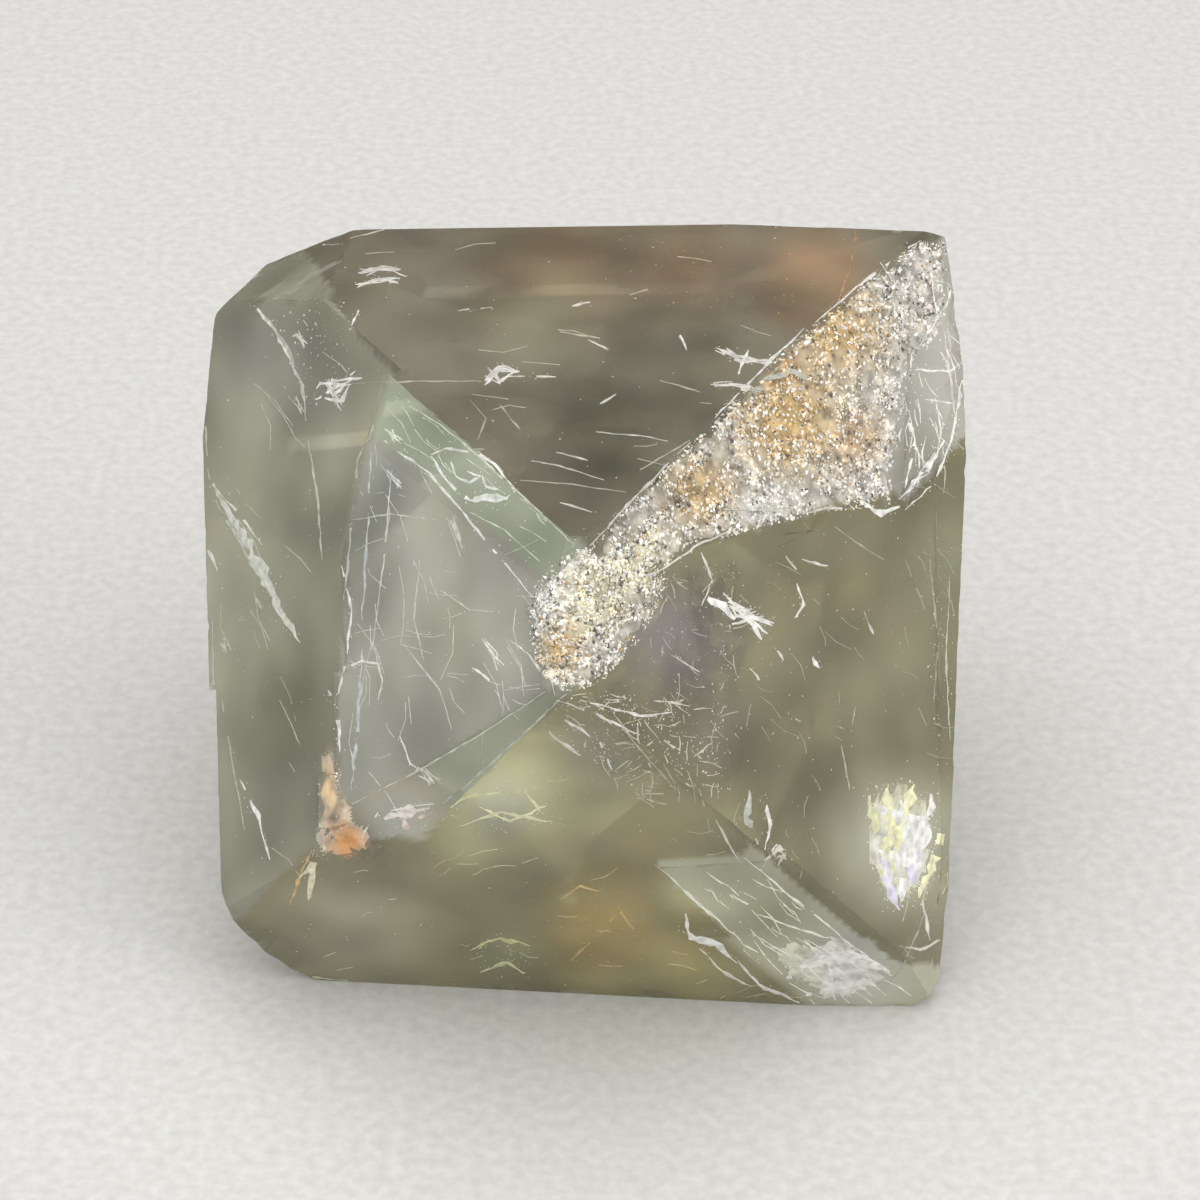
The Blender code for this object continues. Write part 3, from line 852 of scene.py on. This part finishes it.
# Fine hairlines: (outline, number, angle in degrees, spread, length range, width, colour)
HAIRLINES = (
    (PLATE, 40, 80, 25, (14, 60), 1.5, MILK),
    (PLATE, 22, 5, 30, (10, 40), 1.5, MILK),
    (UPPER_STRIP, 16, 42, 14, (12, 50), 1.6, MILK),
    (RIGHT, 60, 60, 50, (8, 34), 1.5, MILK),
    (WISPS, 60, 30, 70, (6, 26), 2.4, WHITE),
    (TOP, 14, 5, 16, (10, 50), 1.2, MILK),
    (LEFT, 16, 62, 20, (14, 60), 1.4, MILK),
    (FRONT, 36, -8, 25, (8, 36), 1.5, (0.62, 0.62, 0.42)),
    (CHIP, 40, 38, 16, (10, 50), 2.4, WHITE),
    (SHARD, 36, 70, 30, (10, 44), 2.2, WHITE),
    (PURPLE, 40, 60, 80, (6, 22), 2.0, PALE),
)
HAIRLINE_BEND = 0.12  # of its length


def section(surface, x, y, across, width):
    """The four corners of a sliver's cross-section at a pixel, or None beside the crystal."""
    hit = surface.at(x, y)
    left = surface.at(x - across[0] * width / 2, y - across[1] * width / 2)
    right = surface.at(x + across[0] * width / 2, y + across[1] * width / 2)
    if not hit or not left or not right:
        return None
    if max((left[0] - hit[0]).length, (right[0] - hit[0]).length) > STEEPEST * width * MM_PER_PIXEL * MM:
        return None
    return [left[0], hit[0] + hit[1] * SLIVER_RISE * MM, right[0], hit[0] - hit[1] * SLIVER_ROOT * MM]


def add_bar(verts, faces, colours, rows, colour):
    """A closed bar through four-cornered sections, if there are two or more."""
    if len(rows) < 2:
        return
    first = len(verts)
    for row in rows:
        verts += row
    for step in range(len(rows) - 1):
        for corner in range(4):
            a, b = first + 4 * step + corner, first + 4 * step + (corner + 1) % 4
            faces.append((a, b, b + 4, a + 4))
    last = first + 4 * (len(rows) - 1)
    faces.append((first + 3, first + 2, first + 1, first))
    faces.append((last, last + 1, last + 2, last + 3))
    colours += [colour] * (4 * len(rows))


def along(points, step):
    """(x, y, direction) every few pixels along a line of points."""
    out = []
    for (ax, ay), (bx, by) in zip(points, points[1:]):
        length = math.hypot(bx - ax, by - ay)
        count = max(1, round(length / step))
        for i in range(count):
            share = i / count
            x, y = ax + share * (bx - ax), ay + share * (by - ay)
            out.append((x, y, (bx - ax) / length, (by - ay) / length))
    return out + [(*points[-1], out[-1][2], out[-1][3])]


def add_sliver(verts, faces, colours, points, width, colour, surface, chance):
    """One sliver, ragged, and thin at both ends. It breaks off where it leaves the crystal."""
    seed = chance.uniform(0, 100)
    places = along(points, SLIVER_STEP)
    thinning = SLIVER_THINNING if width < THINNED_UNDER else 1.0
    rows = []
    for index, (x, y, dx, dy) in enumerate(places):
        taper = math.sin(math.pi * (index + 0.4) / (len(places) - 0.2)) ** 0.6
        ragged = 0.7 + 1.1 * noise.noise(Vector((x / RAGGED_WAVE, y / RAGGED_WAVE, seed)))
        shift = WANDER * width * noise.noise(Vector((x / WANDER_WAVE, y / WANDER_WAVE, seed + 50)))
        wide = max(THINNEST, thinning * width * taper * ragged)
        row = section(surface, x - dy * shift, y + dx * shift, (-dy, dx), wide)
        if row and ragged > GAP_UNDER:
            rows.append(row)
        else:
            add_bar(verts, faces, colours, rows, colour)
            rows = []
    add_bar(verts, faces, colours, rows, colour)


def add_crumbs(verts, faces, colours, points, width, colour, surface, chance):
    """Small grains scattered along a sliver."""
    for x, y, dx, dy in along(points, 12 / width):
        aside = chance.gauss(0, 0.5 * width)
        hit = surface.at(x - dy * aside, y + dx * aside)
        if hit and chance.random() < 0.8:
            size = (0.015 + 0.05 * chance.random() ** 2) * MM
            add_grain(verts, faces, hit[0], hit[1], size, SPECK_FLATNESS, chance)
            colours += [colour * chance.uniform(0.8, 1.15)] * GRAIN_CORNERS


def sliver_piece(name, lines, surface, material):
    """One piece of all the slivers in a list, thin ones nearer the crystal's own colour."""
    chance = random.Random(name)
    verts, faces, colours = [], [], []
    for points, width, colour in lines:
        x, y = points[len(points) // 2]
        strength = FAINTEST + (1 - FAINTEST) * soft_step(width - 1, 8)
        blended = crystal_tone(x, y).lerp(Vector(colour), strength)
        add_sliver(verts, faces, colours, points, width, blended, surface, chance)
        if width > CRUMBS_FROM:
            add_crumbs(verts, faces, colours, points, width, blended, surface, chance)
    piece = mesh_piece(name, verts, faces, colours, material)
    face_out(piece.data)


def feathered(lines):
    """Each line as a bundle of thinner ones, strewn across its width."""
    chance = random.Random("clusters")
    strands = []
    for points, width, colour in lines:
        for _ in range(CLUSTER_STRANDS):
            spread = CLUSTER_SPREAD * width
            strand = [(x + chance.gauss(0, spread), y + chance.gauss(0, spread)) for x, y in points]
            strands.append((strand, max(LEAST_STRAND, STRAND_WIDTH * width), colour))
    return strands


def hairlines():
    """Fine lines at random places and angles, as slivers."""
    chance = random.Random("hairlines")
    lines = []
    for polygon, count, angle, spread, lengths, width, colour in HAIRLINES:
        for _ in range(count):
            x, y = random_inside(polygon, chance)
            turn = math.radians(angle + chance.uniform(-spread, spread))
            length = chance.uniform(*lengths)
            bend = chance.uniform(-HAIRLINE_BEND, HAIRLINE_BEND) * length
            dx, dy = math.cos(turn), math.sin(turn)
            middle = (x + dx * length / 2 - dy * bend, y + dy * length / 2 + dx * bend)
            lines.append(([(x, y), middle, (x + dx * length, y + dy * length)], width, colour))
    return lines


# Marks on the sides that the photograph doesn't show

FAR_MARKS = 900
MARK_FLATNESS = 0.12
MARK_PATCH = 4
MARK_STAIN = 6
MARK_BARENESS = (-0.5, 0.4)
LOWEST_MARK = 0.35  # keeps them off the floor


def far_marks(crystal, surface, material):
    """Small chips, scattered over the back and the sides."""
    chance = random.Random("far marks")
    polygons = [p for p in crystal.data.polygons if p.center.z > LOWEST_MARK * MM]
    polygons = [p for p in polygons if not surface.sees(p.center)]
    verts, faces, colours = [], [], []
    for polygon in chance.sample(polygons, FAR_MARKS):
        if noise.noise(polygon.center / (MARK_PATCH * MM)) < chance.uniform(*MARK_BARENESS):
            continue
        size = (0.02 + 0.22 * chance.random() ** 4) * MM
        add_grain(verts, faces, polygon.center, polygon.normal, size, MARK_FLATNESS, chance)
        tone = OCHRE if noise.noise(polygon.center / (MARK_STAIN * MM) + OUT) > 0.25 else WHITE
        colours += [Vector(tone) * chance.uniform(0.7, 1.0)] * GRAIN_CORNERS
    mesh_piece("far_marks", verts, faces, colours, material)


# Cloudy sheets just behind the faces, and one dark sheet of painted shade

SHEET_STEP = 22  # pixels between a sheet's points
SHEET_THICKNESS = 0.03
SHEET_FADE = 26  # pixels
CLOUD_ANGLES = (0.2, 0.5, 0.1)


def veil_material(name, scale, edge):
    """A thin cloudy sheet: clear but for noisy patches, as dense as its attribute cover says."""
    material, tree, place = new_material(name)
    patches = noise_node(tree, turned(tree, place, CLOUD_ANGLES), scale, 2, 0.4)
    alpha = node(tree, "ShaderNodeMath", operation="MULTIPLY")
    tree.links.new(ramp(tree, patches, [(edge[0], 0.0), (edge[1], 1.0)]), alpha.inputs[0])
    tree.links.new(attribute(tree, "cover"), alpha.inputs[1])
    shader = node(tree, "ShaderNodeBsdfPrincipled", Roughness=0.6)
    shade = ramp(tree, patches, [(0.4, 0.8), (0.75, 1.25)])
    tree.links.new(painted(tree, shade), shader.inputs["Base Color"])
    tree.links.new(alpha.outputs[0], shader.inputs["Alpha"])
    finish_material(tree, shader)
    return material


def flat_net(polygon, step):
    """(points, triangles, rim edges) of a net that fills a polygon, with no side over the step."""
    net = bmesh.new()
    net.faces.new([net.verts.new((x, y, 0)) for x, y in polygon])
    bmesh.ops.triangulate(net, faces=list(net.faces))
    split_edges(net, step)
    net.verts.index_update()
    points = [(v.co.x, v.co.y) for v in net.verts]
    triangles = [tuple(v.index for v in f.verts) for f in net.faces]
    rim = [tuple(v.index for v in e.verts) for e in net.edges if len(e.link_faces) == 1]
    net.free()
    return points, triangles, rim


def veil(name, polygon, depth, cover, base, stains_and_light, texture, surface):
    """A thin closed sheet that follows the faces at a depth behind them, and fades out at its rim."""
    points, triangles, rim = flat_net(polygon, SHEET_STEP)
    verts, covers, colours = [], [], []
    for layer in (0.0, SHEET_THICKNESS):
        for x, y in points:
            verts.append(surface.within(x, y, depth + layer))
            covers.append(cover * soft_step(edge_distance(x, y, polygon), SHEET_FADE))
            colours.append(spotted(x, y, base, stains_and_light))
    back = len(points)
    faces = triangles + [(back + a, back + c, back + b) for a, b, c in triangles]
    faces += [(a, b, back + b, back + a) for a, b in rim]
    piece = mesh_piece(name, verts, faces, colours, veil_material(name, *texture))
    piece.data.attributes.new("cover", "FLOAT", "POINT").data.foreach_set("value", covers)
    face_out(piece.data)


# (noise scale, the noise values at which a cloud starts and is full)
SOFT_CLOUD = (330, (0.38, 0.66))
FINE_CLOUD = (900, (0.42, 0.60))

# (name, outline in photo pixels, depth in mm, cover, base colour, spots of stain and painted shade, texture)
VEILS = (
    ("veil_rust_top", [(400, 236), (880, 238), (850, 330), (760, 340), (690, 300), (480, 310)], 2.4, 0.8,
     (0.42, 0.27, 0.14),
     ((810, 290, 90, (0.60, 0.30, 0.12), 0.9), (430, 265, 80, (0.46, 0.36, 0.28), 0.8)), SOFT_CLOUD),
    # a dark sheet under the lower part of the top face: painted shade
    ("veil_smoke", [(450, 330), (760, 320), (590, 530), (420, 395)], 1.1, 0.8,
     (0.12, 0.12, 0.09), ((520, 340, 80, (0.32, 0.33, 0.24), 0.8),), SOFT_CLOUD),
    ("veil_purple", [(612, 590), (745, 545), (760, 640), (740, 780), (650, 790), (585, 700)], 0.6, 0.85,
     (0.48, 0.44, 0.46), ((600, 740, 70, WHITE, 0.7), (690, 600, 40, (0.62, 0.59, 0.60), 0.7)), FINE_CLOUD),
    ("veil_ochre_foot", [(530, 880), (650, 840), (740, 950), (700, 990), (500, 985)], 2.0, 0.9,
     (0.60, 0.45, 0.18),
     ((600, 900, 50, (0.66, 0.44, 0.18), 0.8), (690, 960, 50, (0.64, 0.54, 0.24), 0.8)), FINE_CLOUD),
)


# Floor, lights and camera

FLOOR_REACH = 1.2  # metres, as the lights' places are


def floor_piece():
    """A plain pale floor."""
    mesh = bpy.data.meshes.new("floor")
    corners = [(FLOOR_REACH * x, FLOOR_REACH * y, 0) for x, y in ((-1, -1), (1, -1), (1, 1), (-1, 1))]
    mesh.from_pydata(corners, [], [(0, 1, 2, 3)])
    material, tree, place = new_material("pale_felt")
    fibres = noise_node(tree, place, 1600, 2)
    shader = node(tree, "ShaderNodeBsdfPrincipled", Roughness=0.9)
    colour = ramp(tree, fibres, [(0.3, (0.62, 0.62, 0.60)), (0.7, (0.72, 0.72, 0.70))])
    tree.links.new(colour, shader.inputs["Base Color"])
    finish_material(tree, shader)
    mesh.materials.append(material)
    floor = bpy.data.objects.new("floor", mesh)
    bpy.context.scene.collection.objects.link(floor)


# (name, place, size, power, colour)
LAMPS = (
    ("overhead", (-0.06, -0.06, 0.55), 0.8, 3.3, (1, 1, 1)),
    ("side", (0.45, -0.25, 0.35), 0.3, 0.9, (1.0, 0.97, 0.92)),
)
LIT_SPOT = (0, 0, 0.01)
BACK_DIMMING = -0.75  # how strongly the sky darkens towards the back
SKY_STOPS = (
    (0.0, (0.05, 0.04, 0.035)), (0.25, (0.10, 0.085, 0.075)), (0.6, (0.32, 0.31, 0.30)),
    (1.0, (0.64, 0.64, 0.64)),
)


def area_light(name, spot, size, power, colour):
    """A soft square lamp that faces the crystal."""
    lamp = bpy.data.objects.new(name, bpy.data.lights.new(name, "AREA"))
    lamp.data.size = size
    lamp.data.energy = power
    lamp.data.color = colour
    lamp.location = spot
    lamp.rotation_mode = "QUATERNION"
    lamp.rotation_quaternion = (Vector(LIT_SPOT) - Vector(spot)).to_track_quat("-Z", "Y")
    bpy.context.scene.collection.objects.link(lamp)


def lighting():
    """Two soft lamps, and a studio sky that is darker behind the crystal."""
    for row in LAMPS:
        area_light(*row)
    world = bpy.data.worlds.new("studio")
    bpy.context.scene.world = world
    world.use_nodes = True
    tree = world.node_tree
    tree.nodes.clear()
    place = tree.nodes.new("ShaderNodeTexCoord").outputs["Generated"]
    split = tree.nodes.new("ShaderNodeSeparateXYZ")
    tree.links.new(place, split.inputs["Vector"])
    behind = node(tree, "ShaderNodeMath", operation="MULTIPLY_ADD")
    behind.inputs[1].default_value = BACK_DIMMING
    tree.links.new(split.outputs["Y"], behind.inputs[0])
    tree.links.new(split.outputs["Z"], behind.inputs[2])
    sky = ramp(tree, behind.outputs[0], SKY_STOPS)
    back = tree.nodes.new("ShaderNodeBackground")
    tree.links.new(sky, back.inputs["Color"])
    output = tree.nodes.new("ShaderNodeOutputWorld")
    tree.links.new(back.outputs["Background"], output.inputs["Surface"])


SENSOR = 36  # millimetres of the camera itself


def camera():
    """The photograph's camera."""
    eye = bpy.data.objects.new("camera", bpy.data.cameras.new("camera"))
    eye.data.sensor_width = SENSOR
    eye.data.lens = SENSOR * CAMERA_DISTANCE / (PHOTO_SIZE * MM_PER_PIXEL)
    eye.data.clip_start = 0.01
    eye.matrix_world = Matrix.Translation(camera_point()) @ Matrix((ACROSS, UP, OUT)).transposed().to_4x4()
    bpy.context.scene.collection.objects.link(eye)
    bpy.context.scene.camera = eye


def object_pieces():
    """Every piece of the specimen."""
    surface, crystal = crystal_piece()
    grain = mineral_material("grain", 0.5)
    flake = mineral_material("flake", 0.3)
    for row in CRUSTS:
        crust(*row, surface, grain)
    specks(surface, flake)
    sliver_piece("cracks_and_chips", SLIVERS + tuple(feathered(CLUSTERS)), surface, flake)
    sliver_piece("hairlines", hairlines(), surface, flake)
    far_marks(crystal, surface, flake)
    for row in VEILS:
        veil(*row, surface)


camera()
lighting()
floor_piece()
object_pieces()
bpy.context.scene.view_settings.view_transform = "Standard"
